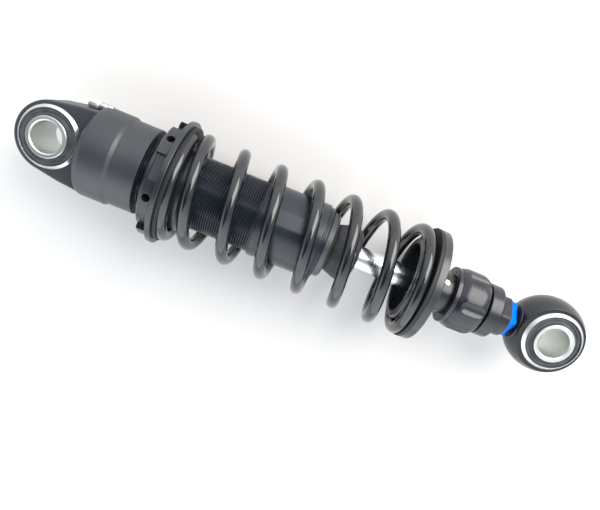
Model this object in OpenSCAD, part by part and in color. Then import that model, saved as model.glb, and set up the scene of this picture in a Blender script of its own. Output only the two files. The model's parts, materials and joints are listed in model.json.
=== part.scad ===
// Rear shock absorber: gas-charged damper with a coil spring, preload ring,
// rebound knob, length adjuster and a rubber bush in each eye.
// X runs along the damper from the upper eye (origin) to the lower eye.
// Z is the axis of both bushes.

/* [Overall] */
// Distance between the two eye centres
eye_distance = 347; // [345:1:349]
// Outer radius of the damper body's M48 thread
thread_r = 24; // [23.8:0.1:24.2]
// Bore radius of the damper body
bore_r = 19; // [18.8:0.1:19.2]
// Radius of the damper rod
rod_r = 8; // [7.8:0.1:8.1]

/* [Eyes and bushes] */
// Bore radius of the bush sleeves, for the mounting bolt
bolt_r = 10; // [8:0.5:10.5]
// Outer radius of the bush sleeves
sleeve_r = 13; // [12.5:0.1:13.5]
// Outer radius of the bush shells
shell_r = 20; // [19.4:0.1:20.2]
// Length of the bush sleeves
sleeve_l = 35.2; // [32:0.1:40]
// Width across the faces of both eyes
eye_t = 27; // [25:1:28]
// Radius of the upper eye's end
upper_end_r = 22.5; // [22:0.1:23]
// Radius of the lower eye's ball
lower_ball_r = 26.1; // [25.6:0.1:27]

/* [Spring] */
// Mean radius of the coil
coil_r = 34; // [33.8:0.1:34.2]
// Radius of the spring wire
wire_r = 4; // [3.6:0.1:4]
// Rise of one free turn
coil_pitch = 25.6; // [24:0.1:26]
// Where the spring starts, on the upper washer
spring_x0 = 86.6; // [86:0.1:87]
// Where the spring ends, on the lower washer
spring_x1 = 254; // [253.8:0.1:254.4]
// Radius of the upper seat's flange
upper_seat_r = 41.6; // [40:0.1:43]
// Radius of the lower seat
lower_seat_r = 38.15; // [37:0.05:39]

/* [Preload ring] */
// Outer radius of the ring
ring_r = 38.5; // [37:0.5:40]
// Distance from the axis to the floor of the spanner notches
notch_floor = 34; // [32:0.5:35]
// Width of the spanner notches
notch_w = 17; // [14:1:18]
// Number of notches, and of bar holes
notch_count = 6; // [4:1:6]

/* [Adjusters] */
// Largest radius of the rebound knob
knob_r = 21; // [20:0.5:22]
// Number of finger flutes in the knob
flute_count = 6; // [4:1:8]
// Width across the flats of the square lock nut
nut_af = 17; // [16:1:18]

/* [Hidden] */
$fn = 96;
run_gap = 0.05;       // radial clearance of a running fit
join_gap = 0.02;      // radial clearance of a fixed fit

// Stations along X, from a datum plane 3 mm before the centre of the upper eye
datum_gap = 3;
cap_face_x = 25.4;    // left face of the cap's round body
cap_end_x = 65.2;
tube_x0 = 46;
thread_x1 = 142.4;
smooth_x1 = 183.4;
tube_x1 = 187.1;
ring_x0 = 73;
ring_x1 = 80.6;
flange_x1 = 84;
cup_x1 = 191.8;       // right end of the dust cap
stop_x0 = 193.5;      // bump stop against the wiper
stop_x1 = 211;
seat_x0 = 256.4;
seat_x1 = 261.7;
seat_hub_x = 266;
plate_x0 = 276.8;
knob_x0 = 280;
knob_x1 = 300.5;
neck_x0 = 301.5;
neck_x1 = 309.5;
rod_end_x1 = 318.8;
nut_x1 = 324.2;
lower_flat_x = 325.2;
piston_x0 = 158;
piston_x1 = 170;
shoulder_x = 173;     // rod shoulder behind the piston
head_x0 = 175;
head_x1 = 184;
pin_x = 290;          // cross pin of the rebound needle

// Radii
cap_r = 30;
cap_low_r = 28.75;
smooth_r = 25.5;
shell_in_r = 17.9;
shell_lip = 2.2;      // how far a bush shell stands out of its eye
rubber_half = 14.9;   // half the length of a bush's rubber
spigot_r = 6;         // rod end that carries the piston
spigot_out_r = 28.9;  // seats' collars inside the spring
needle_bore_r = 3;
core_r = 12;          // rod end's core, inside the knob
collar_r = 13.5;      // rod end beside the lock nut
stud_r = 6;
valve_y = 28.4;       // axis of the gas valve
ring_turn = 20.4;     // first notch, from +Z towards +Y
knob_turn = 2.3;      // first flute, from +Z towards +Y
flat_turn = 51;       // wrench flat and first flat of the lock nut, from +Z towards +Y
flat_r = 11.4;        // distance from the axis to the wrench flats

// ---- helpers ----

// Solid of revolution about X from [radius, x] points
module turned(points) rotate([0, 90, 0]) rotate_extrude() polygon(points);

// Round bar along X
module bar(r, x0, x1) translate([x0, 0, 0]) rotate([0, 90, 0]) cylinder(r = r, h = x1 - x0);

// Ring along X
module ring(r, hole_r, x0, x1) turned([[hole_r, x0], [r, x0], [r, x1], [hole_r, x1]]);

// Hexagonal bar along X, across flats af, one corner at angle turn from +Z towards +Y
module hex_bar(af, x0, x1, turn)
    translate([x0, 0, 0]) rotate([-turn, 0, 0]) rotate([0, 90, 0])
        cylinder(r = af / sqrt(3), h = x1 - x0, $fn = 6);

// Places its children at angle a about X, measured from +Z towards +Y
module around(a) rotate([-a, 0, 0]) children();

// Points of a quarter round from [r0, x0] to [r1, x1], bulging to the larger radius
function quarter(r0, x0, r1, x1, steps = 6) =
    [for (i = [0 : steps]) let (t = 90 * i / steps)
        [r0 + (r1 - r0) * sin(t), x1 + (x0 - x1) * cos(t)]];

// Places its children by their stations, so that the upper eye's centre is the origin
module from_datum() translate([-datum_gap, 0, 0]) children();

// Bush parts, about Z
module bush_shell(face, lip) {
    rotate_extrude() polygon([
        [shell_in_r, -face - lip], [shell_in_r + 0.3, -face - lip], [shell_r, -face],
        [shell_r, face], [shell_in_r + 0.3, face + lip], [shell_in_r, face + lip]]);
}

module bush_rubber(half) {
    groove_d = 0.8;
    out_r = shell_in_r - join_gap;
    rotate_extrude() polygon([
        [sleeve_r + run_gap, -half], [sleeve_r + 1.5, -half], [sleeve_r + 2.1, -half + groove_d],
        [out_r - 1.2, -half + groove_d], [out_r - 0.6, -half], [out_r, -half],
        [out_r, half], [out_r - 0.6, half], [out_r - 1.2, half - groove_d],
        [sleeve_r + 2.1, half - groove_d], [sleeve_r + 1.5, half], [sleeve_r + run_gap, half]]);
}

module bush_sleeve(length) {
    chamfer = 0.5;
    difference() {
        translate([0, 0, -length / 2]) cylinder(r = sleeve_r, h = length);
        translate([0, 0, -length / 2 - 1]) cylinder(r = bolt_r, h = length + 2);
        for (side = [0, 1]) mirror([0, 0, side])
            translate([0, 0, length / 2 - chamfer])
                cylinder(r1 = bolt_r, r2 = bolt_r + 2 * chamfer, h = 2 * chamfer);
    }
}

// ---- upper end ----

module upper_eye_cap() color("#17181a") {
    body = concat([[0, cap_face_x]], quarter(24.5, cap_face_x, cap_r, cap_face_x + 5.2),
                  [[cap_r, 45.9], [cap_low_r, 48.2], [cap_low_r, cap_end_x],
                   [thread_r + join_gap, cap_end_x], [thread_r + join_gap, tube_x0],
                   [bore_r, tube_x0], [bore_r, 40], [0, 40]]);
    half = [[-3, upper_end_r], [11, 24.9], [25, 26.4], [25, 0], [-3, 0]];
    pocket_r = 3.6;
    passage_r = 0.8;
    difference() {
        union() {
            cylinder(r = upper_end_r, h = eye_t, center = true);
            for (side = [0, 1]) mirror([0, side, 0])
                linear_extrude(height = eye_t, center = true) polygon(half);
            from_datum() turned(body);
        }
        translate([0, 0, -eye_t]) cylinder(r = shell_r, h = 2 * eye_t);
        // pocket, socket and gas passage of the valve
        from_datum() translate([0, valve_y, 0]) {
            bar(pocket_r, 14, 31.5);
            bar(1.5 + join_gap, 31, 37);
            bar(passage_r, 36, 42);
        }
        from_datum() translate([42, bore_r - 1, 0]) rotate([-90, 0, 0])
            cylinder(r = passage_r, h = valve_y - bore_r + 1);
        // groove for the tube's o-ring
        from_datum() ring(25.6, thread_r - 1, 50, 52.4);
    }
}

module upper_bush_shell() color("#c9ccd0") bush_shell(eye_t / 2, shell_lip);
module upper_bush_rubber() color("#3a3b3c") bush_rubber(rubber_half);
module upper_bush_sleeve() color("#9a9c9e") bush_sleeve(sleeve_l);

module gas_valve_body() color("#4a4c50") translate([0, valve_y, 0])
    turned([[0.6, 17.5], [1.9, 17.5], [1.9, 22.5], [2.7, 22.5], [2.7, 31.5], [1.5, 31.5],
            [1.5, 36.5], [0.6, 36.5]]);

module gas_valve_core() color("#b08d3c") translate([0, valve_y, 0])
    turned([[0, 18], [0.4, 18], [0.4, 24], [0.58, 24], [0.58, 34], [0, 34]]);

module gas_valve_cap() color("#d8dade") translate([0, valve_y, 0])
    turned([[0, 15.8], [2.7, 15.8], [3.1, 16.2], [3.1, 22.5], [1.95, 22.5], [1.95, 17],
            [0, 17]]);

// ---- damper body ----

module damper_tube() color("#101216") {
    flat_depth = 0.45;
    flat_x0 = 147;
    difference() {
        turned([[bore_r, tube_x0], [thread_r - 0.9, tube_x0], [thread_r, tube_x0 + 0.9],
                [thread_r, 141], [thread_r - 0.8, thread_x1], [smooth_r - 0.8, thread_x1],
                [smooth_r, thread_x1 + 0.8], [smooth_r, smooth_x1 - 1.5],
                [smooth_r - 1.5, smooth_x1], [smooth_r - 1.5, tube_x1], [bore_r, tube_x1]]);
        // four wrench flats
        for (k = [0 : 3]) around(22.7 + 90 * k)
            translate([flat_x0, -8, smooth_r - flat_depth])
                cube([30, 16, 3]);
        // circlip groove
        ring(bore_r + 1.2, bore_r - 1, 184.2, 185.5);
        // fine grooves behind the shoulder
        for (x = [184.3, 185.9]) ring(smooth_r, smooth_r - 2, x, x + 0.6);
    }
}

module cap_o_ring() color("#1c1c1c") ring(25.5, thread_r + join_gap, 50.1, 52.3);

module floating_piston() color("#8f9397")
    difference() {
        turned([[0, 68], [14.5, 68], [14.5, 62], [bore_r - run_gap, 62],
                [bore_r - run_gap, 78], [9, 78], [9, 74], [0, 74]]);
        ring(bore_r + 1, 17, 70, 72.6);
    }

module floating_piston_o_ring() color("#1c1c1c") ring(bore_r - run_gap, 17, 70.1, 72.5);

module seal_head() color("#a9793a")
    difference() {
        bar(bore_r - join_gap, head_x0, head_x1);
        bar(rod_r + 0.6, head_x0 - 1, head_x1 + 1);
        bar(10, 175.5, 181);
        bar(12, 181, head_x1 + 1);
        ring(bore_r + 1, 17.2, 177, 179.6);
    }

module guide_bush() color("#b98a48") ring(10 - join_gap, rod_r + run_gap, 175.6, 180.9);
module rod_seal() color("#1d3b57") ring(12 - join_gap, rod_r + run_gap, 181.1, head_x1);
module seal_head_o_ring() color("#1c1c1c") ring(bore_r - join_gap, 17.2, 177.1, 179.5);

module seal_head_circlip() color("#55585c")
    difference() {
        ring(bore_r + 1.1, 17, 184.3, 185.4);
        translate([183, -3, 10]) cube([4, 6, 20]);
    }

module dust_cap() color("#26282b")
    turned([[12, 185.8], [bore_r - join_gap, 185.8], [bore_r - join_gap, tube_x1],
            [22, tube_x1], [22, 190.8], [21, cup_x1], [12, cup_x1]]);

module rod_wiper() color("#131313")
    turned([[rod_r + run_gap, 188], [12 - join_gap, 188], [12 - join_gap, cup_x1],
            [15.75, cup_x1], [15.75, stop_x0], [rod_r + 0.4, stop_x0],
            [rod_r + 0.4, 189.2], [rod_r + run_gap, 189.2]]);

module bump_stop() color("#2b2b2b")
    turned(concat([[rod_r + 0.3, stop_x0], [16, stop_x0], [17.6, 197.5], [19, 202]],
                  [for (i = [0 : 6]) let (t = 15 * i)
                      [13 + 6 * cos(t), 204.5 + (stop_x1 - 204.5) * sin(t)]],
                  [[rod_r + 0.3, stop_x1]]));

// ---- rod and piston ----

module piston_rod() color("#e6e8ea")
    difference() {
        turned([[0, 149], [spigot_r - 0.8, 149], [spigot_r, 149.8], [spigot_r, shoulder_x],
                [rod_r, shoulder_x], [rod_r, 295], [rod_r - 1, 296], [0, 296]]);
        bar(needle_bore_r, 160, 297);
        bar(2, 148, 161);
        // bleed ports behind the piston
        for (a = [0, 90]) around(a) translate([178, 0, -rod_r - 1])
            cylinder(r = 1.5, h = 2 * rod_r + 2);
        // slot for the cross pin
        translate([pin_x - 2.2, -rod_r - 1, -1.4]) cube([4.4, 2 * rod_r + 2, 2.8]);
    }

module piston() color("#b5b8bb")
    difference() {
        ring(bore_r - 0.5, spigot_r + join_gap, piston_x0, piston_x1);
        ring(bore_r + 1, 17.4, 160.9, 167.1);
        for (k = [0 : 5]) around(60 * k) translate([0, 0, 12])
            bar(1.6, piston_x0 - 1, piston_x1 + 1);
    }

module piston_band() color("#6b5a3a") ring(bore_r - run_gap, 17.4, 161, 167);

// Stacks of thin discs that get smaller away from the piston
module compression_shims() color("#c0c4c8")
    turned([[spigot_r + join_gap, 156], [9, 156], [9, 156.6], [12, 156.6], [12, 157.2],
            [15.5, 157.2], [15.5, piston_x0], [spigot_r + join_gap, piston_x0]]);

module rebound_shims() color("#c0c4c8")
    turned([[spigot_r + join_gap, piston_x1], [15.5, piston_x1], [15.5, 170.8], [12, 170.8],
            [12, 171.6], [9.5, 171.6], [9.5, shoulder_x], [spigot_r + join_gap, shoulder_x]]);

module piston_nut() color("#8d9196")
    difference() {
        hex_bar(17, 150, 156, 0);
        bar(spigot_r + join_gap, 149, 157);
    }

module top_out_bumper() color("#252525") ring(13, rod_r + join_gap, shoulder_x + 0.1, 174.8);

module rebound_needle() color("#d0d2d4")
    difference() {
        turned([[0, 161.5], [0.6, 161.5], [needle_bore_r - run_gap, 173],
                [needle_bore_r - run_gap, 294], [0, 294]]);
        translate([pin_x, -5, 0]) rotate([-90, 0, 0]) cylinder(r = 1.2 + join_gap, h = 10, $fn = 32);
        ring(4, 2.1, 184, 185.8);
    }

module needle_o_ring() color("#1c1c1c") ring(needle_bore_r - run_gap, 2.1, 184.1, 185.7);

module needle_cross_pin() color("#9a9ea2")
    translate([pin_x, -13, 0]) rotate([-90, 0, 0]) cylinder(r = 1.2, h = 26, $fn = 32);

// ---- spring and its seats ----

module preload_ring() color("#16181b")
    difference() {
        turned([[thread_r + run_gap, 71], [33.3, 71], [33.3, ring_x0], [ring_r - 1, ring_x0],
                [ring_r, ring_x0 + 1], [ring_r, ring_x1 - 1], [ring_r - 1, ring_x1],
                [thread_r + run_gap, ring_x1]]);
        for (k = [0 : notch_count - 1]) around(ring_turn + 360 / notch_count * k) {
            translate([ring_x0 - 0.5, -notch_w / 2, notch_floor])
                cube([ring_x1 - ring_x0 + 1, notch_w, 10]);
            // bar hole in the land beside the notch
            around(180 / notch_count) translate([77.3, 0, 28])
                cylinder(r = 2.6, h = 15);
        }
    }

module upper_spring_seat() color("#1a1c1f")
    turned([[thread_r + 0.1, ring_x1], [upper_seat_r - 0.5, ring_x1],
            [upper_seat_r, ring_x1 + 0.5], [upper_seat_r, flange_x1 - 0.5],
            [upper_seat_r - 0.5, flange_x1], [spigot_out_r, flange_x1], [spigot_out_r, 94],
            [spigot_out_r - 1, 96], [thread_r + 0.1, 96]]);

module upper_spring_washer() color("#0c0c0c")
    ring(38.9, spigot_out_r + join_gap, flange_x1, spring_x0);

// Wire centre along X for turn k: closed end turns, then free turns at coil_pitch
end_pitch = 6;
last_turn = 6.95;
function ramp(u) = u < -0.3 ? 0 : u > 0.3 ? u : (u + 0.3) * (u + 0.3) / 1.2;
function rise(k) = 91.3 + end_pitch * (k + 0.087) + (coil_pitch - end_pitch) * ramp(k + 0.087);
function wire_x(k) = k <= 3 ? rise(k) : spring_x0 + spring_x1 - rise(6 - k);

module coil_spring() color("#0b0c0d") {
    rings_per_turn = 14;
    sides = 10;
    first_turn = -0.95;
    rings = round((last_turn - first_turn) * rings_per_turn);
    points = [for (i = [0 : rings]) let (k = first_turn + (last_turn - first_turn) * i / rings)
        for (j = [0 : sides - 1]) let (a = 360 * j / sides, r = coil_r + wire_r * cos(a))
            [min(spring_x1, max(spring_x0, wire_x(k) + wire_r * sin(a))),
             r * cos(360 * k), r * sin(360 * k)]];
    sides_faces = [for (i = [0 : rings - 1]) for (j = [0 : sides - 1])
        let (a = i * sides + j, b = i * sides + (j + 1) % sides)
            each [[a, b, b + sides], [a, b + sides, a + sides]]];
    caps = [[for (j = [sides - 1 : -1 : 0]) j], [for (j = [0 : sides - 1]) rings * sides + j]];
    polyhedron(points = points, faces = concat(sides_faces, caps));
}

module lower_spring_washer() color("#0c0c0c")
    ring(38.3, spigot_out_r + join_gap, spring_x1, seat_x0);

module lower_spring_seat() color("#1c1e21")
    turned([[rod_r + join_gap, 258], [24, 258], [24, 246], [spigot_out_r - 1, 246],
            [spigot_out_r, 247.5], [spigot_out_r, seat_x0],
            [lower_seat_r - 0.4, seat_x0], [lower_seat_r, seat_x0 + 0.4],
            [lower_seat_r, seat_x1 - 0.6], [lower_seat_r - 0.6, seat_x1], [26, seat_x1],
            [16, seat_hub_x], [rod_r + join_gap, seat_hub_x]]);

module seat_retainer() color("#2a2c30")
    difference() {
        turned([[rod_r + join_gap, seat_hub_x], [14.2, seat_hub_x], [14.2, plate_x0],
                [rod_r + join_gap, plate_x0]]);
        around(44) translate([271.3, 0, rod_r - 1]) cylinder(r = 2, h = 12);
    }

module retainer_screw() color("#e6d9b8")
    around(44) translate([271.3, 0, rod_r + 0.1])
        difference() {
            cylinder(r = 2 - join_gap, h = 5.6);
            translate([0, 0, 4.2]) cylinder(r = 1.15, h = 3, $fn = 6);
        }

// ---- rebound adjuster and rod end ----

module knob_end_plate() color("#202226")
    difference() {
        turned([[rod_r + join_gap, plate_x0], [19.1, plate_x0], [19.5, plate_x0 + 0.4],
                [19.5, knob_x0 - 0.6], [19.1, knob_x0 - 0.2], [rod_r + join_gap, knob_x0 - 0.2]]);
        for (side = [-1, 1]) translate([0, side * 16.2, 0]) bar(0.8, plate_x0 - 1, plate_x0 + 2);
    }

module rebound_knob() color("#191b1e")
    difference() {
        turned(concat([[core_r + run_gap, knob_x0], [19.2, knob_x0], [knob_r - 0.7, 282],
                       [knob_r, 286], [knob_r, 294]],
                      [for (i = [1 : 6]) let (t = 15 * i)
                          [knob_r - 4 * (1 - cos(t)), 294 + 6.5 * sin(t)]],
                      [[core_r + run_gap, knob_x1]]));
        for (k = [0 : flute_count - 1]) around(knob_turn + 360 / flute_count * k)
            translate([281.5, 0, knob_r + 3.6]) rotate([0, 90, 0]) cylinder(r = 5.2, h = 30);
        // inner grooves for the cross pin and the click balls
        ring(13.6, core_r - 1, pin_x - 2.2, pin_x + 2.2);
        ring(12.9, core_r - 1, 283.3, 286.7);
    }

module click_balls() color("#d6d8da")
    for (side = [-1, 1]) translate([285, 0, side * 11.1]) sphere(r = 1.4, $fn = 32);

module click_springs() color("#a0a4a8")
    for (side = [0, 1]) mirror([0, 0, side])
        translate([285, 0, rod_r + 0.5]) cylinder(r = 1.2, h = 1.1, $fn = 32);

module rod_end() color("#1d1f23")
    difference() {
        turned(concat([[0, knob_x0], [core_r, knob_x0], [core_r, neck_x0], [17.2, neck_x0],
                       [18, neck_x0 + 0.8], [18, neck_x1]],
                      [for (i = [1 : 5]) let (t = 18 * i)
                          [collar_r + 4.5 * cos(t), neck_x1 + 2 * sin(t)]],
                      [[collar_r, rod_end_x1 - 0.4], [collar_r - 0.4, rod_end_x1],
                       [0, rod_end_x1]]));
        bar(rod_r + join_gap, knob_x0 - 1, 296.5);
        bar(stud_r + run_gap, 299, rod_end_x1 + 1);
        translate([pin_x - 2.2, -core_r - 1, -1.4]) cube([4.4, 2 * core_r + 2, 2.8]);
        for (side = [0, 1]) mirror([0, 0, side])
            translate([285, 0, rod_r - 1]) cylinder(r = 1.45, h = 6, $fn = 32);
        // two wrench flats
        for (side = [0, 180]) around(flat_turn + side) translate([311.8, -10, flat_r])
            cube([8, 20, 5]);
    }

module lock_nut() color("#1a6fe0")
    difference() {
        intersection() {
            around(flat_turn) translate([rod_end_x1 + 0.1, -nut_af / 2, -nut_af / 2])
                cube([nut_x1 - rod_end_x1 - 0.1, nut_af, nut_af]);
            turned([[0, rod_end_x1], [11.2, rod_end_x1], [12.1, rod_end_x1 + 0.8],
                    [12.1, nut_x1 - 0.7], [11.2, nut_x1 + 0.1], [0, nut_x1 + 0.1]]);
        }
        bar(stud_r + run_gap, rod_end_x1 - 1, nut_x1 + 1);
    }

module eye_stud() color("#7c8086")
    turned([[0, 300], [stud_r - 0.8, 300], [stud_r, 300.8], [stud_r, 329.5], [0, 329.5]]);

module lower_eye() color("#17181a")
    difference() {
        intersection() {
            union() {
                translate([eye_distance - 1, 0, 0]) sphere(r = lower_ball_r);
                from_datum() bar(12.6, lower_flat_x, 334);
            }
            from_datum() translate([lower_flat_x, -40, -eye_t / 2]) cube([80, 80, eye_t]);
        }
        translate([eye_distance, 0, -20]) cylinder(r = shell_r, h = 40);
        from_datum() bar(stud_r + join_gap, lower_flat_x - 1, 329.6);
    }

module lower_bush_shell() color("#c9ccd0") translate([eye_distance, 0, 0])
    bush_shell(eye_t / 2, shell_lip);
module lower_bush_rubber() color("#3a3b3c") translate([eye_distance, 0, 0])
    bush_rubber(rubber_half);
module lower_bush_sleeve() color("#9a9c9e") translate([eye_distance, 0, 0])
    bush_sleeve(sleeve_l);

upper_eye_cap();
upper_bush_shell();
upper_bush_rubber();
upper_bush_sleeve();
from_datum() gas_valve_body();
from_datum() gas_valve_core();
from_datum() gas_valve_cap();
from_datum() damper_tube();
from_datum() cap_o_ring();
from_datum() floating_piston();
from_datum() floating_piston_o_ring();
from_datum() seal_head();
from_datum() guide_bush();
from_datum() rod_seal();
from_datum() seal_head_o_ring();
from_datum() seal_head_circlip();
from_datum() dust_cap();
from_datum() rod_wiper();
from_datum() bump_stop();
from_datum() piston_rod();
from_datum() piston();
from_datum() piston_band();
from_datum() compression_shims();
from_datum() rebound_shims();
from_datum() piston_nut();
from_datum() top_out_bumper();
from_datum() rebound_needle();
from_datum() needle_o_ring();
from_datum() needle_cross_pin();
from_datum() preload_ring();
from_datum() upper_spring_seat();
from_datum() upper_spring_washer();
from_datum() coil_spring();
from_datum() lower_spring_washer();
from_datum() lower_spring_seat();
from_datum() seat_retainer();
from_datum() retainer_screw();
from_datum() knob_end_plate();
from_datum() rebound_knob();
from_datum() click_balls();
from_datum() click_springs();
from_datum() rod_end();
from_datum() lock_nut();
from_datum() eye_stud();
lower_eye();
lower_bush_shell();
lower_bush_rubber();
lower_bush_sleeve();
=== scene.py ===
"""Looks of the rear shock absorber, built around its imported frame, in metres.

X runs from the upper eye to the lower eye, Z is the axis of both bushes, and +Y is the valve's side.
"""

import json
import math

import bmesh
import bpy
import numpy as np
from mathutils import Matrix, Vector


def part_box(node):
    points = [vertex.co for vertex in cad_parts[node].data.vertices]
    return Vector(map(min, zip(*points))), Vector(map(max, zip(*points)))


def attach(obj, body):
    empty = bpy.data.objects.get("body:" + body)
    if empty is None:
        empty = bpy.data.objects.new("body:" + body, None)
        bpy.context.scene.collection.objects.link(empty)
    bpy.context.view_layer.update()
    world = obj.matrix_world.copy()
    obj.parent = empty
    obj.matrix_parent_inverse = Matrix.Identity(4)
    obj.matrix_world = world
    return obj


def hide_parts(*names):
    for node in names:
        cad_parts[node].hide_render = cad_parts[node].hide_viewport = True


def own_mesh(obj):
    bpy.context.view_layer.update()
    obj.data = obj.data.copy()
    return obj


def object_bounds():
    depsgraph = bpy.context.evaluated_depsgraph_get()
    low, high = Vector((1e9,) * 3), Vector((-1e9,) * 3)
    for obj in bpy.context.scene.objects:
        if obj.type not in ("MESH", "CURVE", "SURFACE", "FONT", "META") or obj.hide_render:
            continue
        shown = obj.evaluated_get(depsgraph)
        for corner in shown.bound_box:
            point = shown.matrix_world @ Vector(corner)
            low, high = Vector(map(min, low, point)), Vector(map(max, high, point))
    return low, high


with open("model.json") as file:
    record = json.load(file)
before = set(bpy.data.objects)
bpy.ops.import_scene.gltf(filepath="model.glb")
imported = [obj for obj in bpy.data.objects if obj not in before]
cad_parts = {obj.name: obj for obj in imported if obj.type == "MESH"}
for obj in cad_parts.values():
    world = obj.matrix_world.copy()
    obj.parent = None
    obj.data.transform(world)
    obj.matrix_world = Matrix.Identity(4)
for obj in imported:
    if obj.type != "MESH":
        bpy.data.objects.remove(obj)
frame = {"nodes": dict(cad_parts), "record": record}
cad_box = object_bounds()
MM = 0.001
DATUM = 3.0  # stations along X count from a plane this far before the upper eye's centre
ROUND = 144  # segments round a large turned piece
QUARTER = math.pi / 2


# ---------- places from the frame ----------


def span(node):
    """First and last station of a CAD node, in millimetres."""
    lo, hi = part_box(node)
    return lo.x / MM + DATUM, hi.x / MM + DATUM


def radius(node):
    """Outer radius of a CAD node that is round about X, in millimetres."""
    lo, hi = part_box(node)
    return (hi.z - lo.z) / 2 / MM


EYE_X = sum(span("lower_bush_sleeve")) / 2  # station of the lower eye's centre
EYE_T = (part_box("lower_eye")[1].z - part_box("lower_eye")[0].z) / MM  # thickness of both eyes
VALVE_Y = sum(corner.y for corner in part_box("gas_valve_cap")) / 2 / MM
BORE_R = 20.0  # bore of both eyes
ROD_R = radius("piston_rod")
THREAD_R = 24.0  # over the crests of the tube's thread
PITCH = 1.5
FIT = 0.02  # radial clearance of a fixed fit
KNOB_TURN = math.radians(2.3)  # first flute, from +Z towards +Y
RING_TURN = math.radians(20.4)  # first notch of the preload ring
FLAT_TURN = math.radians(51)  # wrench flat and lock nut
SCREW_X, SCREW_TURN = 271.3, math.radians(44)  # the seat retainer's screw


# ---------- meshes ----------


def new_object(name, verts, faces):
    """A mesh object from points (station, Y, Z) in millimetres, smooth except at real edges."""
    mesh = bpy.data.meshes.new(name)
    mesh.from_pydata([(MM * (x - DATUM), MM * y, MM * z) for x, y, z in verts], [], faces)
    obj = bpy.data.objects.new(name, mesh)
    bpy.context.scene.collection.objects.link(obj)
    tidy(obj)
    return obj


def tidy(obj, sharp_deg=34):
    """Merges doubles, points the faces outward and sets which edges stay sharp."""
    bm = bmesh.new()
    bm.from_mesh(obj.data)
    bmesh.ops.remove_doubles(bm, verts=bm.verts, dist=1e-7)
    bmesh.ops.dissolve_degenerate(bm, edges=bm.edges, dist=1e-7)
    bmesh.ops.recalc_face_normals(bm, faces=bm.faces)
    bm.to_mesh(obj.data)
    bm.free()
    obj.data.shade_smooth()
    obj.data.set_sharp_from_angle(angle=math.radians(sharp_deg))


def loft(name, loops, ring=True):
    """Skin over loops of equal length; a ring joins the last to the first, else both ends close."""
    count = len(loops[0])
    verts = [v for loop in loops for v in loop]
    faces = []
    last = len(loops) if ring else len(loops) - 1
    for i in range(last):
        k = (i + 1) % len(loops)
        for j in range(count):
            m = (j + 1) % count
            faces.append((i * count + j, i * count + m, k * count + m, k * count + j))
    if not ring:
        faces.append(tuple(range(count))[::-1])
        faces.append(tuple((len(loops) - 1) * count + j for j in range(count)))
    return new_object(name, verts, faces)


def rounded(points, steps=4):
    """A closed outline with its corners rounded: each point is (a, b) or (a, b, fillet radius)."""
    out = []
    n = len(points)
    for i, p in enumerate(points):
        here = np.array(p[:2], float)
        fillet = p[2] if len(p) > 2 else 0.0
        before = np.array(points[i - 1][:2], float) - here
        after = np.array(points[(i + 1) % n][:2], float) - here
        lb, la = np.linalg.norm(before), np.linalg.norm(after)
        if fillet <= 0 or lb < 1e-9 or la < 1e-9:
            out.append(tuple(here))
            continue
        ub, ua = before / lb, after / la
        half = math.acos(max(-1.0, min(1.0, float(ub @ ua)))) / 2
        if half < 0.05 or half > 1.55:
            out.append(tuple(here))
            continue
        back = min(fillet / math.tan(half), 0.49 * lb, 0.49 * la)
        a, c = here + ub * back, here + ua * back
        for s in range(steps + 1):
            t = s / steps
            q = (1 - t) ** 2 * a + 2 * t * (1 - t) * here + t * t * c
            out.append(tuple(q))
    return out


def mirrored(side):
    """The points of one half of a section, in reverse order and on the other side."""
    return [(r, -s, *fillet) for r, s, *fillet in reversed(side)]


def lathe(name, points, axis="X", centre=(0, 0, 0), segments=ROUND, shape=None, turn=0.0):
    """Turned solid round X, or round Z for an eye.

    The points are (radius, station) or (radius, station, fillet), in order round the section. A section
    that touches the axis closes there. shape(radius, station, angle) may cut the radius.
    """
    section = rounded(points)
    verts, rings = [], []
    for r, s in section:
        ring = []
        for j in range(segments if r > 1e-6 else 1):
            a = turn + 2 * math.pi * j / segments
            q = shape(r, s, a) if shape and r > 1e-6 else r
            c, d = q * math.cos(a), q * math.sin(a)
            p = (s, d, c) if axis == "X" else (c, d, s)
            ring.append(len(verts))
            verts.append(tuple(u + v for u, v in zip(p, centre)))
        rings.append(ring)
    faces = []
    for i, here in enumerate(rings):
        there = rings[(i + 1) % len(rings)]
        if len(here) == 1 and len(there) == 1:
            continue
        for j in range(segments):
            m = (j + 1) % segments
            near = [here[j % len(here)], here[m % len(here)]]
            far = [there[m % len(there)], there[j % len(there)]]
            faces.append(tuple(dict.fromkeys(near + far)))
    return new_object(name, verts, faces)


def boolean(obj, other, operation="DIFFERENCE"):
    """Cuts other from obj, or joins it on, and removes other."""
    mod = obj.modifiers.new("cut", "BOOLEAN")
    mod.operation = operation
    mod.solver = "EXACT"
    mod.object = other
    depsgraph = bpy.context.evaluated_depsgraph_get()
    made = bpy.data.meshes.new_from_object(obj.evaluated_get(depsgraph))
    obj.modifiers.clear()
    obj.data = made
    bpy.data.objects.remove(other)
    tidy(obj)
    return obj


def box_cutter(lo, hi, turn=0.0):
    """A box between two corners, turned about X from +Z towards +Y, in millimetres."""
    corners = [(x, y, z) for x in (lo[0], hi[0]) for y in (lo[1], hi[1]) for z in (lo[2], hi[2])]
    c, s = math.cos(turn), math.sin(turn)
    verts = [(x, y * c + z * s, -y * s + z * c) for x, y, z in corners]
    faces = [(0, 1, 3, 2), (4, 6, 7, 5), (0, 4, 5, 1), (2, 3, 7, 6), (0, 2, 6, 4), (1, 5, 7, 3)]
    return new_object("cutter", verts, faces)


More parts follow.
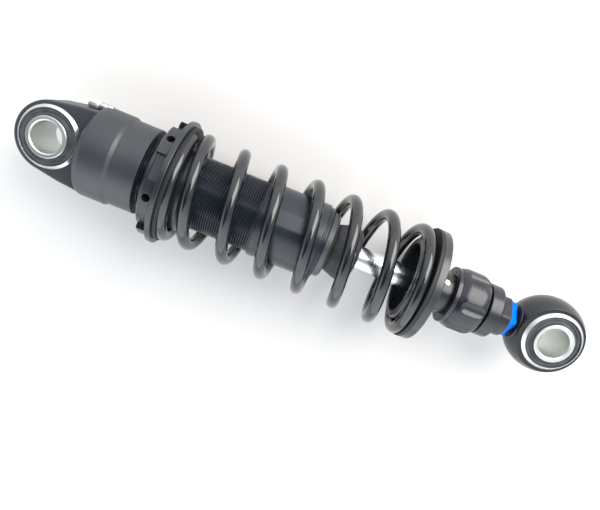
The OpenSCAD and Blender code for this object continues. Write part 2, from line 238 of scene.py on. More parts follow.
def peg_cutter(x, r, low, high, turn):
    """A round bar that points outward from X, turned from +Z towards +Y."""
    loops = []
    for level in (low, high):
        loop = []
        for j in range(32):
            a = 2 * math.pi * j / 32
            u, v = r * math.cos(a), r * math.sin(a)
            y = v * math.cos(turn) + level * math.sin(turn)
            z = -v * math.sin(turn) + level * math.cos(turn)
            loop.append((x + u, y, z))
        loops.append(loop)
    return loft("cutter", loops, ring=False)


def offset_outline(outline, distance):
    """The closed outline moved inward by distance along its own normals."""
    pts = np.array(outline, float)
    ahead, behind = np.roll(pts, -1, 0) - pts, pts - np.roll(pts, 1, 0)
    ahead /= np.linalg.norm(ahead, axis=1)[:, None]
    behind /= np.linalg.norm(behind, axis=1)[:, None]
    tangent = ahead + behind
    tangent /= np.linalg.norm(tangent, axis=1)[:, None]
    inward = np.stack([-tangent[:, 1], tangent[:, 0]], 1)
    lean = np.clip((tangent * ahead).sum(1), 0.5, 1.0)
    return pts + inward * (distance / lean)[:, None]


# ---------- materials ----------


def principled(name, colour, metallic=0.0, roughness=0.4, **sockets):
    """A material with its shader; returns (material, nodes, links, shader)."""
    mat = bpy.data.materials.new(name)
    mat.use_nodes = True
    nodes, links = mat.node_tree.nodes, mat.node_tree.links
    shader = nodes["Principled BSDF"]
    shader.inputs["Base Color"].default_value = (*colour, 1)
    shader.inputs["Metallic"].default_value = metallic
    shader.inputs["Roughness"].default_value = roughness
    for key, value in sockets.items():
        shader.inputs[key.replace("_", " ")].default_value = value
    return mat, nodes, links, shader


def noise(nodes, links, scale, detail=3.0, stretch=None):
    """A noise texture in object space; stretch scales X, Y and Z."""
    coord = nodes.new("ShaderNodeTexCoord")
    mapping = nodes.new("ShaderNodeMapping")
    mapping.inputs["Scale"].default_value = stretch or (1, 1, 1)
    tex = nodes.new("ShaderNodeTexNoise")
    tex.inputs["Scale"].default_value = scale
    tex.inputs["Detail"].default_value = detail
    links.new(coord.outputs["Object"], mapping.inputs["Vector"])
    links.new(mapping.outputs["Vector"], tex.inputs["Vector"])
    return tex


def vary(nodes, links, tex, low, high, target, span_in=(0.3, 0.7)):
    """Drives a number socket from a texture, between low and high."""
    remap = nodes.new("ShaderNodeMapRange")
    remap.inputs["From Min"].default_value, remap.inputs["From Max"].default_value = span_in
    remap.inputs["To Min"].default_value = low
    remap.inputs["To Max"].default_value = high
    links.new(tex.outputs["Fac"], remap.inputs["Value"])
    links.new(remap.outputs["Result"], target)


def tint(nodes, links, tex, dark, light, shader, span_in=(0.3, 0.7)):
    """Drives the base colour from a texture, between two colours."""
    ramp = nodes.new("ShaderNodeValToRGB")
    ramp.color_ramp.elements[0].position, ramp.color_ramp.elements[1].position = span_in
    ramp.color_ramp.elements[0].color = (*dark, 1)
    ramp.color_ramp.elements[1].color = (*light, 1)
    links.new(tex.outputs["Fac"], ramp.inputs["Fac"])
    links.new(ramp.outputs["Color"], shader.inputs["Base Color"])


def bump(nodes, links, tex, shader, height):
    """Adds a bump of that height in metres from a texture."""
    node = nodes.new("ShaderNodeBump")
    node.inputs["Distance"].default_value = height
    node.inputs["Strength"].default_value = 1.0
    links.new(tex.outputs["Fac"], node.inputs["Height"])
    links.new(node.outputs["Normal"], shader.inputs["Normal"])


def black_anodised(name, colour=(0.03, 0.032, 0.036), roughness=0.42, level=0.8, stretch=None):
    """Dyed aluminium: a soft grey sheen, fine grain and slightly uneven dye."""
    mat, nodes, links, shader = principled(name, colour, 0.0, roughness, Specular_IOR_Level=level)
    blot = noise(nodes, links, 45, 4)
    tint(nodes, links, blot, [0.85 * c for c in colour], [1.2 * c for c in colour], shader)
    grain = noise(nodes, links, 900, 2, stretch)
    vary(nodes, links, grain, roughness * 0.92, roughness * 1.1, shader.inputs["Roughness"])
    bump(nodes, links, grain, shader, 2e-6)
    return mat


def gloss_black(name, colour=(0.007, 0.008, 0.01), roughness=0.12, peel=1e-5, coat=0.3):
    """Gloss powder coat: orange peel, a clear top and a little dust."""
    mat, nodes, links, shader = principled(
        name, colour, 0.0, roughness, Specular_IOR_Level=0.55, Coat_Weight=coat, Coat_Roughness=0.08
    )
    dust = noise(nodes, links, 900, 5)
    tint(nodes, links, dust, colour, [3.5 * c + 0.004 for c in colour], shader, (0.66, 0.78))
    peel_tex = noise(nodes, links, 240, 2)
    bump(nodes, links, peel_tex, shader, peel)
    return mat


def bare_metal(name, colour, roughness, stretch=None, scale=300, height=3e-6, uneven=0.12):
    """Bare or plated metal with machining marks along one direction."""
    mat, nodes, links, shader = principled(name, colour, 1.0, roughness)
    marks = noise(nodes, links, scale, 4, stretch)
    dark = [c * (1 - uneven) for c in colour]
    light = [min(1.0, c * (1 + uneven)) for c in colour]
    tint(nodes, links, marks, dark, light, shader)
    vary(nodes, links, marks, roughness * 0.75, roughness * 1.3, shader.inputs["Roughness"])
    bump(nodes, links, marks, shader, height)
    return mat


def rubber(name, colour=(0.032, 0.032, 0.034), roughness=0.62):
    """Moulded rubber: matt, finely pitted, with a grey bloom."""
    mat, nodes, links, shader = principled(name, colour, 0.0, roughness, Specular_IOR_Level=0.4)
    bloom = noise(nodes, links, 120, 5)
    tint(nodes, links, bloom, [0.75 * c for c in colour], [1.7 * c for c in colour], shader)
    pits = noise(nodes, links, 1500, 3)
    vary(nodes, links, pits, roughness * 0.85, min(1, roughness * 1.15), shader.inputs["Roughness"])
    bump(nodes, links, pits, shader, 2e-5)
    return mat


RINGS_X = (1, 0.02, 0.02)  # stretch for marks that run round X
RINGS_Z = (0.02, 0.02, 1)  # stretch for marks that run round Z

MATERIALS = {
    "cap_black": black_anodised("cap_black", (0.022, 0.024, 0.029), 0.42, 0.62),
    "eye_black": gloss_black("eye_black", roughness=0.24, peel=1e-5, coat=0.0),
    "body_black": black_anodised("body_black", (0.009, 0.013, 0.021), 0.3, 0.5, RINGS_X),
    "seat_black": black_anodised("seat_black", (0.014, 0.016, 0.02), 0.28, 0.6, RINGS_X),
    "spring_black": gloss_black("spring_black"),
    "washer_black": black_anodised("washer_black", (0.01, 0.01, 0.011), 0.55, 0.4),
    "adjuster_black": black_anodised("adjuster_black", (0.01, 0.011, 0.016), 0.26, 0.5),
    "bush_steel": bare_metal("bush_steel", (0.6, 0.61, 0.62), 0.25, RINGS_Z, 900),
    "sleeve_zinc": bare_metal("sleeve_zinc", (0.56, 0.59, 0.555), 0.38, RINGS_Z, 300, 2e-6, 0.08),
    "bush_rubber": rubber("bush_rubber", (0.05, 0.053, 0.057)),
    "valve_dark": bare_metal("valve_dark", (0.6, 0.6, 0.61), 0.4, RINGS_X),
    "valve_bright": bare_metal("valve_bright", (0.95, 0.95, 0.93), 0.45, RINGS_X),
    "brass": bare_metal("brass", (0.8, 0.72, 0.56), 0.4),
    "dark_trim": black_anodised("dark_trim", (0.035, 0.036, 0.04), 0.4),
    "seal_rubber": rubber("seal_rubber", (0.012, 0.012, 0.012), 0.5),
    "stop_rubber": rubber("stop_rubber", (0.025, 0.026, 0.028), 0.5),
    "chrome": bare_metal("chrome", (0.62, 0.64, 0.67), 0.2, RINGS_X, 900, 5e-7, 0.02),
    "lock_blue": bare_metal("lock_blue", (0.003, 0.15, 0.62), 0.32, RINGS_X, 500),
    "plain_steel": bare_metal("plain_steel", (0.55, 0.56, 0.57), 0.3),
    "alloy": bare_metal("alloy", (0.75, 0.76, 0.77), 0.3, RINGS_X),
    "bronze": bare_metal("bronze", (0.6, 0.42, 0.2), 0.35, RINGS_X),
    "seal_blue": rubber("seal_blue", (0.03, 0.09, 0.16), 0.4),
    "ptfe": rubber("ptfe", (0.2, 0.15, 0.09), 0.5),
}


def finish_piece(obj, slot, body, *nodes):
    """Material, slot, body and the CAD nodes that the piece stands for."""
    obj.data.materials.clear()
    obj.data.materials.append(MATERIALS[slot])
    if body:
        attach(obj, body)
    if nodes:
        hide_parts(*nodes)
    mod = obj.modifiers.new("normals", "WEIGHTED_NORMAL")
    mod.keep_sharp = True
    return obj


# ---------- upper end ----------


def eye_block():
    """The flat eye: a long outline with rounded edges, pierced for the bush."""
    half_t, end_r, edge, back_x, wide = EYE_T / 2, 22.5, 1.3, 34.0, 26.4
    arc = [math.radians(a) for a in np.linspace(97, 263, 57)]
    nose = [(DATUM + end_r * math.cos(a), end_r * math.sin(a)) for a in arc]
    lower = [(14.0, -24.9), (28.0, -wide), (back_x, -wide)]
    back = [(back_x, y) for y in np.linspace(-22, 22, 9)]
    upper = [(x, -y) for x, y in reversed(lower)]
    outline = nose + lower + back + upper
    around = [math.atan2(y, x - DATUM) for x, y in outline]
    loops = []
    for z, inset in rounded_edge(half_t, edge):
        moved = offset_outline(outline, inset)
        loops.append([(x, y, z) for x, y in moved])
    top = [(DATUM + BORE_R * math.cos(a), BORE_R * math.sin(a), half_t) for a in around]
    bottom = [(x, y, -half_t) for x, y, _ in top]
    return loft("upper_eye_cap", loops + [top, bottom])


def rounded_edge(half, r, steps=4):
    """(level, inset) from the lower to the upper edge of a plate with rounded edges."""
    low = [(-half + r * (1 - math.sin(t)), r * (1 - math.cos(t)))
           for t in np.linspace(QUARTER, 0, steps + 1)]
    return low + [(-z, inset) for z, inset in reversed(low)]


def upper_eye_cap():
    """Eye and cylinder cap in one piece, with the valve's pocket."""
    x_end = span("upper_eye_cap")[1]
    face, cap_r, low_r, tube_r, tube_x = 25.4, 30, 28.75, THREAD_R + 0.1, 46
    round_r, round_x = 5.5, 5.2
    shoulder = [(cap_r - round_r * (1 - math.sin(t)), face + round_x * (1 - math.cos(t)))
                for t in np.linspace(0, QUARTER, 9)]
    cap = lathe("cap", [(0, face), *shoulder, (cap_r, 45.9, 0.6), (low_r, 48.2, 0.6), (low_r, x_end, 0.5),
                        (tube_r, x_end, 0.3), (tube_r, tube_x), (0, tube_x)])
    body = boolean(eye_block(), cap, "UNION")
    pocket_r, x0, x1 = 3.6, 14, 31.5
    pocket = lathe("pocket", [(0, x0), (pocket_r, x0, 0.5), (pocket_r, x1, 0.5), (0, x1)],
                   centre=(0, VALVE_Y, 0), segments=48)
    boolean(body, pocket)
    finish_piece(body, "cap_black", "damper", "upper_eye_cap")


def bush(prefix, x, body, sleeve_body):
    """Shell, rubber and sleeve of one eye."""
    centre = (x, 0, 0)
    half = EYE_T / 2
    lip, shell_r, shell_in, sleeve_r, bolt_r = 2.2, BORE_R - FIT, 17.9, 13.0, 10.0
    top = half + lip
    side = [(shell_in, top, 0.1), (shell_in + 0.3, top, 0.15), (shell_r, half + 0.3, 0.25),
            (shell_r, half - 1)]
    shell = lathe(prefix + "_bush_shell", mirrored(side)[::-1] + side[::-1], "Z", centre)
    finish_piece(shell, "bush_steel", body, prefix + "_bush_shell")
    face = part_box(prefix + "_bush_rubber")[1].z / MM
    side = [(sleeve_r + 0.05, face, 0.3), (sleeve_r + 1.1, face, 0.3), (sleeve_r + 1.7, face - 0.9, 0.3),
            (sleeve_r + 2.4, face - 0.9, 0.3), (sleeve_r + 2.9, face - 0.2, 0.3),
            (shell_in - 0.9, face - 0.2, 0.3), (shell_in - 0.5, face - 0.8, 0.2), (shell_in, face - 0.8)]
    rubber_piece = lathe(prefix + "_bush_rubber", side + mirrored(side), "Z", centre)
    finish_piece(rubber_piece, "bush_rubber", body, prefix + "_bush_rubber")
    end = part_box(prefix + "_bush_sleeve")[1].z / MM
    side = [(bolt_r, end - 0.9, 0.3), (bolt_r + 0.9, end - 0.15, 0.25), (sleeve_r - 0.4, end, 0.2),
            (sleeve_r, end - 0.4)]
    sleeve = lathe(prefix + "_bush_sleeve", side + mirrored(side), "Z", centre)
    finish_piece(sleeve, "sleeve_zinc", sleeve_body, prefix + "_bush_sleeve")


def gas_valve():
    """Knurled valve cap and the valve's body behind it."""
    x0, x1 = span("gas_valve_cap")
    cap_r, inner_r, ridges, step = 3.1, 1.95, 14, 0.5

    def knurl(r, s, a):
        if r < 2.5 or not x0 + 0.6 < s < x1 - 1.2:
            return r
        return r * (1 - 0.03 * (math.cos(ridges * a) > 0))

    grip = [(cap_r, x0 + 0.8 + step * k) for k in range(int((x1 - x0 - 1.6) / step))]
    cap = lathe("gas_valve_cap", [(0, x0), (2.6, x0, 0.4), *grip, (cap_r, x1 - 0.6), (2.8, x1, 0.3),
                                  (inner_r, x1), (inner_r, x0 + 1.2), (0, x0 + 1.2)],
                centre=(0, VALVE_Y, 0), segments=56, shape=knurl)
    finish_piece(cap, "valve_bright", "damper", "gas_valve_cap")
    b0, b1 = span("gas_valve_body")
    hole, thin, thick, tail, end = 0.6, 1.9, 2.7, 1.5, 31.5
    stem = lathe("gas_valve_body", [
        (hole, b0), (thin, b0, 0.2), (thin, x1), (thick, x1, 0.2), (thick, 27.0, 0.2), (2.2, 27.4, 0.1),
        (2.2, 28.0, 0.1), (thick, 28.4, 0.2), (thick, end, 0.2), (tail, end), (tail, b1), (hole, b1)],
        centre=(0, VALVE_Y, 0), segments=48)
    finish_piece(stem, "valve_dark", "damper", "gas_valve_body")


# ---------- damper body ----------


def damper_tube():
    """Threaded tube: the thread runs as a true helix, the smooth end has four wrench flats."""
    x0, x1 = span("damper_tube")
    start, thread_end, depth, rows = 62.0, 142.4, 0.92, 9
    smooth_r, smooth_end, bore, groove_r, land_r = 25.5, 183.4, 19.0, 23.6, 24.3
    count = int((thread_end - start) / PITCH * rows)
    threaded = [(THREAD_R, start + k * PITCH / rows) for k in range(1, count)]
    flat_r, flat_turn, flat_half = smooth_r - 0.45, math.radians(22.7), math.radians(10.75)
    flat_x0, flat_x1 = 147.0, 177.0

    def shape(r, s, a):
        if r < bore + 1:
            return r
        if abs(r - THREAD_R) < 1e-6 and start < s < thread_end - 0.6:
            # height is 1 over the flat crest and falls in straight flanks to 0 at the root
            phase = (s / PITCH - a / (2 * math.pi)) % 1.0
            height = max(0.0, min(1.0, 1.35 - 2.7 * abs(phase - 0.5)))
            fade = min(1.0, (s - start) / 1.5, (thread_end - 0.6 - s) / 2.0)
            return r - depth * (1 - height) * fade
        if r > smooth_r - 0.3 and flat_x0 <= s <= flat_x1:
            off = (a - flat_turn + QUARTER / 2) % QUARTER - QUARTER / 2
            if abs(off) < flat_half:
                return min(r, flat_r / math.cos(off))
        return r

    smooth = [(smooth_r, s) for s in (flat_x0 - 0.1, flat_x0, flat_x1, flat_x1 + 0.1)]
    grooves = []
    for g in (184.2, 185.7):
        grooves += [(land_r, g, 0.1), (groove_r, g + 0.1, 0.1)]
        grooves += [(groove_r, g + 0.6, 0.1), (land_r, g + 0.7, 0.1)]
    tube = lathe("damper_tube", [
        (bore, x0), (THREAD_R, x0), (THREAD_R, start), *threaded, (THREAD_R - 0.8, thread_end - 0.5),
        (THREAD_R - 0.8, thread_end), (smooth_r, thread_end, 0.6), *smooth, (smooth_r, smooth_end, 1.4),
        (land_r, smooth_end + 0.3, 0.2), *grooves, (24.0, x1, 0.3), (bore, x1)], shape=shape, segments=192)
    finish_piece(tube, "body_black", "damper", "damper_tube")


def tube_end():
    """Dust cap, wiper and bump stop."""
    x0, x1 = span("dust_cap")
    w0, w1 = span("rod_wiper")
    inner, plug, rim, flange_x = 12, 18.9, 22, 187.1
    cap = lathe("dust_cap", [(inner, x0), (plug, x0), (plug, flange_x), (rim, flange_x, 0.3),
                             (rim, x1 - 1.2, 0.6), (20.6, x1, 0.5), (inner, x1)])
    finish_piece(cap, "dark_trim", "damper", "dust_cap")
    running, relief, neck, lip_r = ROD_R + 0.05, ROD_R + 0.4, 11.9, 15.75
    wiper = lathe("rod_wiper", [(running, w0), (neck, w0), (neck, x1), (lip_r, x1, 0.3), (lip_r, w1, 0.3),
                                (relief, w1), (relief, w0 + 1), (running, w0 + 1)])
    finish_piece(wiper, "seal_rubber", "damper", "rod_wiper")
    s0, s1 = span("bump_stop")
    hole, belly = ROD_R + 0.3, 18.9
    stop = lathe("bump_stop", [(hole, s0), (16, s0, 0.4), (17.4, s0 + 4.2, 1), (18.4, s0 + 6.4, 1),
                               (belly, s0 + 8.8, 1.5), (belly, s0 + 12, 2.5), (16.5, s1 - 1.2, 2.5),
                               (12.5, s1, 2), (hole, s1, 0.6)])
    finish_piece(stop, "stop_rubber", "damper", "bump_stop")
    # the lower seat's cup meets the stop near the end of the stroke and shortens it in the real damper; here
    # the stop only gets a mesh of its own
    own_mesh(stop)


def rod():
    """Hollow rod with the thinner end that carries the piston."""
    x1 = span("piston_rod")[1]
    hole, spigot, shoulder = 3.0, 6, 173
    bar = lathe("piston_rod", [(hole, 160), (spigot, 149.5, 0.3), (spigot, shoulder), (ROD_R, shoulder),
                               (ROD_R, x1 - 1), (ROD_R - 1, x1), (hole, x1)])
    finish_piece(bar, "chrome", "rod", "piston_rod")


# ---------- spring and seats ----------


def preload_ring():
    """Ring with flat-bottomed spanner notches, and bar holes between them."""
    x0, x1 = span("preload_ring")
    outer, floor, width, hub, notches = 38.5, 34.0, 17.0, 33.3, 6
    chamfer, step, inner = 0.9, 73.0, THREAD_R + 0.1
    share = 2 * math.pi / notches
    edge = math.asin(width / 2 / outer)
    corner = math.atan(width / 2 / floor)
    outline = []
    for k in range(notches):
        mid = RING_TURN + k * share
        for a in np.linspace(-share / 2, -edge, 12):
            outline.append((outer, mid + a))
        for a in np.linspace(-corner, corner, 9):
            outline.append((floor / math.cos(a), mid + a))
        for a in np.linspace(edge, share / 2, 12)[:-1]:
            outline.append((outer, mid + a))
    flat = [(r * math.cos(a), r * math.sin(a)) for r, a in outline]
    small = offset_outline(flat, chamfer)

    def level(x, pts):
        return [(x, b, a) for a, b in pts]

    def circle(x, r):
        return [(x, r * math.sin(a), r * math.cos(a)) for _, a in outline]

    loops = [circle(x0, inner), circle(x0, hub - 0.6), circle(x0 + 0.6, hub), circle(step, hub),
             level(step, small), level(step + chamfer, flat), level(x1 - chamfer, flat), level(x1, small),
             circle(x1, inner)]
    ring = loft("preload_ring", loops)
    hole_x, hole_r = 77.3, 2.6
    for k in range(notches):
        boolean(ring, peg_cutter(hole_x, hole_r, 29, 42, RING_TURN + share / 2 + k * share))
    finish_piece(ring, "seat_black", "adjuster_ring", "preload_ring")


def spring_seats():
    """Both seats and the black washers between them and the spring."""
    x0, x1 = span("upper_spring_seat")
    flange, edge = radius("upper_spring_seat"), span("upper_spring_washer")[0]
    inner, collar = THREAD_R + 0.1, 28.9
    seat = lathe("upper_spring_seat", [(inner, x0), (flange, x0, 0.5), (flange, edge, 0.6), (collar, edge),
                                       (collar, x1 - 2, 0.5), (collar - 1, x1, 0.5), (inner, x1)])
    finish_piece(seat, "seat_black", "spring_seat", "upper_spring_seat")
    for node, body in (("upper_spring_washer", "spring_seat"), ("lower_spring_washer", "rod")):
        w0, w1 = span(node)
        r = radius(node)
        washer = lathe(node, [(collar + 0.05, w0), (r, w0, 0.5), (r, w1, 0.5), (collar + 0.05, w1)])
        finish_piece(washer, "washer_black", body, node)
    s0, s1 = span("lower_spring_washer")[1], 261.7
    low_r = radius("lower_spring_seat")
    hub = span("lower_spring_seat")[1]
    cup_r, cup_x, rim_x = 24, 258, 246
    seat = lathe("lower_spring_seat", [
        (ROD_R + FIT, cup_x), (cup_r, cup_x, 1.5), (cup_r, rim_x, 0.4), (collar - 1, rim_x, 0.8),
        (collar, rim_x + 2, 0.6), (collar, s0), (low_r, s0, 0.5), (low_r, s1, 0.9), (27, s1, 0.8),
        (16, hub, 0.6), (ROD_R + FIT, hub)])
    finish_piece(seat, "seat_black", "rod", "lower_spring_seat")


WIRE_R, COIL_R, END_PITCH, COIL_PITCH = 4.0, 34.0, 6.0, 25.6
FIRST_TURN, LAST_TURN = -0.95, 6.95
OPEN_TURN, OPEN_X, EASE = -0.087, 91.3, 0.3  # where the end coil's pitch gives way to the open pitch


def spring_rise(k):
    """Wire centre along X at turn k, for the upper half of the spring."""
    u = k - OPEN_TURN
    ramp = 0.0 if u < -EASE else u if u > EASE else (u + EASE) ** 2 / (4 * EASE)
    return OPEN_X + END_PITCH * u + (COIL_PITCH - END_PITCH) * ramp


def spring_part(name, first, last, low, high):
    """The wire from turn first to turn last, its end coils ground flat at low and high."""
    per_turn, sides = 60, 28
    count = max(2, round((last - first) * per_turn))
    loops = []
    for i in range(count + 1):
        k = first + (last - first) * i / count
        x = spring_rise(k) if k <= 3 else low + high - spring_rise(6 - k)
        a = 2 * math.pi * k
        loop = []
        for j in range(sides):
            b = 2 * math.pi * j / sides
            r = COIL_R + WIRE_R * math.cos(b)
            along = min(high, max(low, x + WIRE_R * math.sin(b)))
            loop.append((along, r * math.cos(a), r * math.sin(a)))
        loops.append(loop)
    return loft(name, loops, ring=False)


def coil_spring():
    """Two lengths of one wire, split after the first coil; both are fixed to the damper's body."""
    low, high = span("coil_spring")
    split, seat_travel, stroke = 1.0, 6.1, 50.0
    first = spring_part("coil_spring_upper", FIRST_TURN, split, low, high)
    rest = spring_part("coil_spring", split, LAST_TURN, low, high)
    finish_piece(first, "spring_black", "damper")
    finish_piece(rest, "spring_black", "damper", "coil_spring")
    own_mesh(first)
    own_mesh(rest)


# ---------- rod end ----------


def retainer():
    """Collar with its cross-recessed screw, and the end plate of the knob."""
    x0, x1 = span("seat_retainer")
    inner, outer, screw_r, head, deep = ROD_R + FIT, 14.2, 2.0, 13.7, 1.1
    collar = lathe("seat_retainer", [(inner, x0), (outer, x0, 0.4), (outer, x1, 0.5), (inner, x1)])
    boolean(collar, peg_cutter(SCREW_X, screw_r, 9, 16, SCREW_TURN))
    finish_piece(collar, "adjuster_black", "rod", "seat_retainer")
    screw = peg_cutter(SCREW_X, screw_r - FIT, 8.1, head, SCREW_TURN)
    for wide, long in ((0.35, 1.3), (1.3, 0.35)):
        low, high = (SCREW_X - wide, -long, head - deep), (SCREW_X + wide, long, head + 0.8)
        boolean(screw, box_cutter(low, high, SCREW_TURN))
    screw.name = "retainer_screw"
    finish_piece(screw, "brass", "rod", "retainer_screw")
    p0, p1 = span("knob_end_plate")
    r = radius("knob_end_plate")
    plate = lathe("knob_end_plate", [(inner, p0), (r, p0, 0.35), (r, p1, 0.15), (inner, p1)])
    hole_r, hole_y = 0.8, 16.2
    for side in (-1, 1):
        hole = lathe("cutter", [(0, p0 - 1), (hole_r, p0 - 1), (hole_r, p0 + 2), (0, p0 + 2)],
                     centre=(0, hole_y * side, 0), segments=24)
        boolean(plate, hole)
    finish_piece(plate, "adjuster_black", "rod", "knob_end_plate")


def rebound_knob():
    """Round knob with six flutes that run out towards the end plate."""
    x0, x1 = span("rebound_knob")
    big, bore, flutes = 21.0, 12.05, 6
    flute_r, flute_out = 5.4, 24.6
    half_share = math.pi / flutes

    def shape(r, s, a):
        if r < bore + 0.5:
            return r
        off = (a - KNOB_TURN + half_share) % (2 * half_share) - half_share
        out = flute_out + 2.6 * max(0.0, 1 - (s - x0 - 1) / 4.0) ** 1.5
        reach = flute_r**2 - (out * math.sin(off)) ** 2
        return min(r, out * math.cos(off) - math.sqrt(reach)) if reach > 0 else r

    side = [(19.5, x0, 0.15), (19.9, x0 + 1.2, 0.3)]
    side += [(big - 1.1 * (1 - t) ** 2, x0 + 1.2 + 4.8 * t) for t in np.linspace(0.1, 1, 12)]
    side += [(big, s) for s in np.linspace(x0 + 7, x0 + 13.5, 10)]
    side += [(big - 4 * (1 - math.cos(t)), x0 + 14 + 6.5 * math.sin(t))
             for t in np.linspace(0.05, QUARTER - 0.02, 14)]
    knob = lathe("rebound_knob", [(bore, x0), *side, (16.2, x1), (bore, x1)], shape=shape, segments=300)
    finish_piece(knob, "adjuster_black", "knob", "rebound_knob")


def rod_end():
    """Rod end with its ring, two wrench flats and a row of graduation lines."""
    x0, x1 = span("rod_end")
    neck, shoulder, ring_r, low_r, core, stud, flat = 301.5, 309.5, 18.0, 13.5, 12, 6.05, 11.4
    fillet = [(low_r + 4.5 * math.cos(t), shoulder + 2 * math.sin(t)) for t in np.linspace(0.3, QUARTER, 6)]
    body = lathe("rod_end", [
        (ROD_R + FIT, x0), (core, x0, 0.2), (core, neck), (ring_r, neck, 0.9), (ring_r, shoulder, 0.5),
        *fillet, (low_r, x1, 0.5), (stud, x1), (stud, 299), (ROD_R + FIT, 296.5)])
    for side in (0, math.pi):
        boolean(body, box_cutter((311.8, -12, flat), (319.8, 12, 18), FLAT_TURN + side))
    line_x, half_width, first_turn, line_step = 313.2, 0.22, -58, 9
    for k in range(7):
        main = k % 3 == 0
        deep = 0.55 if main else 0.35
        long = 2.6 if main else 1.6
        low, high = (line_x, -half_width, low_r - deep), (line_x + long, half_width, low_r + 1)
        boolean(body, box_cutter(low, high, math.radians(first_turn + line_step * k)))
    finish_piece(body, "adjuster_black", "rod", "rod_end")


def lock_nut():
    """Square nut, its corners chamfered at both ends."""
    x0, x1 = span("lock_nut")
    half_af, corner_r, bore = 8.5, 12.1, 6.05

    def shape(r, s, a):
        if r < bore + 0.5:
            return r
        off = (a - FLAT_TURN + QUARTER / 2) % QUARTER - QUARTER / 2
        return min(r, half_af / math.cos(off))

    side = [(bore + 0.5, x0), (9.0, x0), (corner_r - 0.9, x0), (corner_r - 0.3, x0 + 0.4),
            (corner_r, x0 + 0.9)]
    far = [(r, x0 + x1 - s) for r, s in reversed(side)]
    nut = lathe("lock_nut", [(bore, x0 + 0.4), *side, *far, (bore, x1 - 0.4)],
                shape=shape, segments=180, turn=FLAT_TURN + QUARTER / 2)
    finish_piece(nut, "lock_blue", "length_nut", "lock_nut")


def lower_eye():
    """Ball-shaped eye with a short neck, drilled for the stud and the bush."""
    x0 = span("lower_eye")[0]
    half, ball, mid, waste = EYE_T / 2, 26.1, EYE_X - 1, 18
    rim = math.sqrt(ball**2 - half**2)
    curve = [(ball * math.cos(t), ball * math.sin(t)) for t in np.linspace(-0.54, 0.54, 33)]
    first = [(waste, -half), (rim - 1.2, -half, 0.8), (rim, -half, 0.5)]
    last = [(rim, half, 0.5), (rim - 1.2, half, 0.8), (waste, half)]
    body = lathe("lower_eye", first + curve[1:-1] + last, "Z", (mid, 0, 0), 192)
    neck = lathe("neck", [(0, x0), (12.6, x0, 1.4), (12.8, x0 + 2.4, 1.0), (15, 333), (0, 333)], segments=96)
    boolean(body, neck, "UNION")
    stud_r, hole_end, deep = 6.02, 329.6, 30
    stud_hole = lathe("cutter", [(0, x0 - 1), (stud_r, x0 - 1), (stud_r, hole_end), (0, hole_end)],
                      segments=48)
    boolean(body, stud_hole)
    bore = lathe("cutter", [(0, -deep), (BORE_R, -deep), (BORE_R, deep), (0, deep)], "Z", (EYE_X, 0, 0))
    boolean(body, bore)
    finish_piece(body, "eye_black", "lower_end", "lower_eye")


upper_eye_cap()
bush("upper", DATUM, "damper", "upper_sleeve")
bush("lower", EYE_X, "lower_end", "lower_sleeve")
gas_valve()
damper_tube()
tube_end()
rod()
preload_ring()
spring_seats()
coil_spring()
retainer()
rebound_knob()
rod_end()
lock_nut()
lower_eye()

# the CAD nodes that no piece replaces get their slot's material
slot_of = {s["node"]: s["material_slot"] for s in frame["record"]["subparts"]}
for node, obj in frame["nodes"].items():
    if obj.hide_render:
        continue
    if not obj.material_slots:
        obj.data.materials.append(None)
    for s in obj.material_slots:
        s.material = MATERIALS[slot_of[node]]

# ---------- floor, light and camera ----------

FLOOR_Z = cad_box[0].z - 0.0006  # just below the damper's lowest point


def make_floor():
    """A plain pale sheet under the damper."""
    half = 3.0
    corners = ((-half, -half), (half, -half), (half, half), (-half, half))
    mesh = bpy.data.meshes.new("floor")
    mesh.from_pydata([(x, y, FLOOR_Z) for x, y in corners], [], [(0, 1, 2, 3)])
    floor = bpy.data.objects.new("floor", mesh)
    bpy.context.scene.collection.objects.link(floor)
    mat, nodes, links, shader = principled("floor_paper", (0.68, 0.66, 0.645), 0.0, 0.8)
    bump(nodes, links, noise(nodes, links, 400, 3), shader, 2e-5)
    mesh.materials.append(mat)


# dark spots of the tent: direction, then the angles in degrees where the dark core and its edge end
DARK_SPOTS = (
    ((-0.09, 0.24, 0.96), 9, 15),
    ((-0.09, -0.12, 0.98), 9, 15),
    ((-0.44, -0.24, 0.87), 10, 26),
)
# brightness of the tent by direction: place 0 is -Y, 0.5 is square to Y and 1 is +Y
TENT = ((0.0, 0.8), (0.18, 0.8), (0.34, 0.5), (0.5, 0.26), (0.64, 0.34), (0.8, 0.56), (1.0, 0.6))


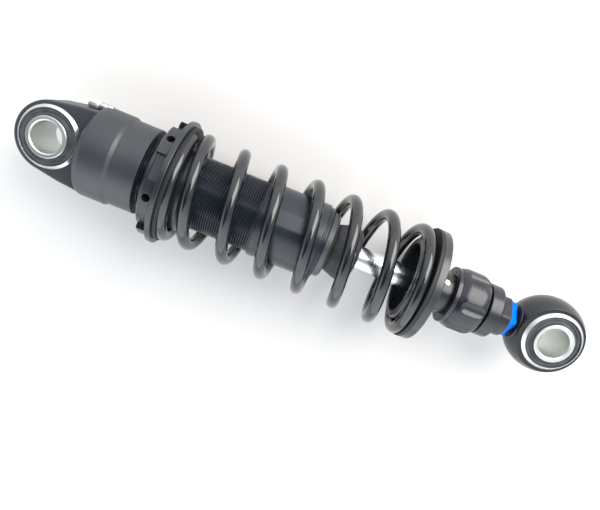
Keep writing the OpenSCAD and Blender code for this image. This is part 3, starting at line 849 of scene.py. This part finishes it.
def make_world():
    """A bright pale tent that is darker overhead, with soft dark spots."""
    world = bpy.data.worlds.new("tent")
    bpy.context.scene.world = world
    world.use_nodes = True
    nodes, links = world.node_tree.nodes, world.node_tree.links
    coord = nodes.new("ShaderNodeTexCoord")
    tent_colour, spot_colour, strength = (0.93, 0.98, 1.03), (0.02, 0.02, 0.024), 3.1

    def towards(direction, inner, outer):
        """1 within the inner angle round a direction, falling to 0 at the outer one."""
        dot = nodes.new("ShaderNodeVectorMath")
        dot.operation = "DOT_PRODUCT"
        dot.inputs[1].default_value = Vector(direction).normalized()
        links.new(coord.outputs["Generated"], dot.inputs[0])
        step = nodes.new("ShaderNodeMapRange")
        step.interpolation_type = "SMOOTHSTEP"
        step.inputs["From Min"].default_value = math.cos(math.radians(outer))
        step.inputs["From Max"].default_value = math.cos(math.radians(inner))
        links.new(dot.outputs["Value"], step.inputs["Value"])
        return step.outputs["Result"]

    def mixed(share, below, colour):
        """Lays a colour over another one by a share."""
        mix = nodes.new("ShaderNodeMix")
        mix.data_type = "RGBA"
        links.new(share, mix.inputs["Factor"])
        links.new(below, mix.inputs["A"])
        mix.inputs["B"].default_value = (*colour, 1)
        return mix.outputs["Result"]

    parts = nodes.new("ShaderNodeSeparateXYZ")
    links.new(coord.outputs["Generated"], parts.inputs["Vector"])
    remap = nodes.new("ShaderNodeMapRange")
    remap.inputs["From Min"].default_value = -1.0
    links.new(parts.outputs["Y"], remap.inputs["Value"])
    ramp = nodes.new("ShaderNodeValToRGB")
    links.new(remap.outputs["Result"], ramp.inputs["Fac"])
    elements = ramp.color_ramp.elements
    for i, (place, level) in enumerate(TENT):
        element = elements[i] if i < 2 else elements.new(place)
        element.position = place
        element.color = (*[c * level for c in tent_colour], 1)
    colour = ramp.outputs["Color"]
    for direction, inner, outer in DARK_SPOTS:
        colour = mixed(towards(direction, inner, outer), colour, spot_colour)
    background = nodes["Background"]
    background.inputs["Strength"].default_value = strength
    links.new(colour, background.inputs["Color"])


def make_window():
    """A soft warm light beyond the lower eye, on the valve's side, that faces the damper's middle."""
    place, target = Vector((0.62, 0.66, 0.62)), Vector((0.17, 0, 0))
    light = bpy.data.lights.new("window", "AREA")
    light.shape = "RECTANGLE"
    light.size, light.size_y = 0.7, 0.9
    light.energy = 13
    light.color = (1.0, 0.97, 0.92)
    obj = bpy.data.objects.new("window", light)
    obj.location = place
    obj.rotation_euler = (target - place).to_track_quat("-Z", "Y").to_euler()
    bpy.context.scene.collection.objects.link(obj)


def make_camera():
    """The camera stands 0.35 m above the damper's axis and looks down, a little rolled."""
    cam = bpy.data.cameras.new("camera")
    cam.sensor_width = 36
    cam.lens = 32.72
    cam.clip_start = 0.01
    obj = bpy.data.objects.new("camera", cam)
    right = Vector((0.92549, 0.37550, -0.04956))
    back = Vector((-0.05212, 0.25586, 0.96531)).normalized()
    up = back.cross(right).normalized()
    right = up.cross(back)
    turn = Matrix((right, up, back)).transposed().to_4x4()
    obj.matrix_world = Matrix.Translation((0.15432, 0.07995, 0.35171)) @ turn
    bpy.context.scene.collection.objects.link(obj)
    bpy.context.scene.camera = obj


make_floor()
make_world()
make_camera()
make_window()
bpy.context.scene.view_settings.view_transform = "Standard"
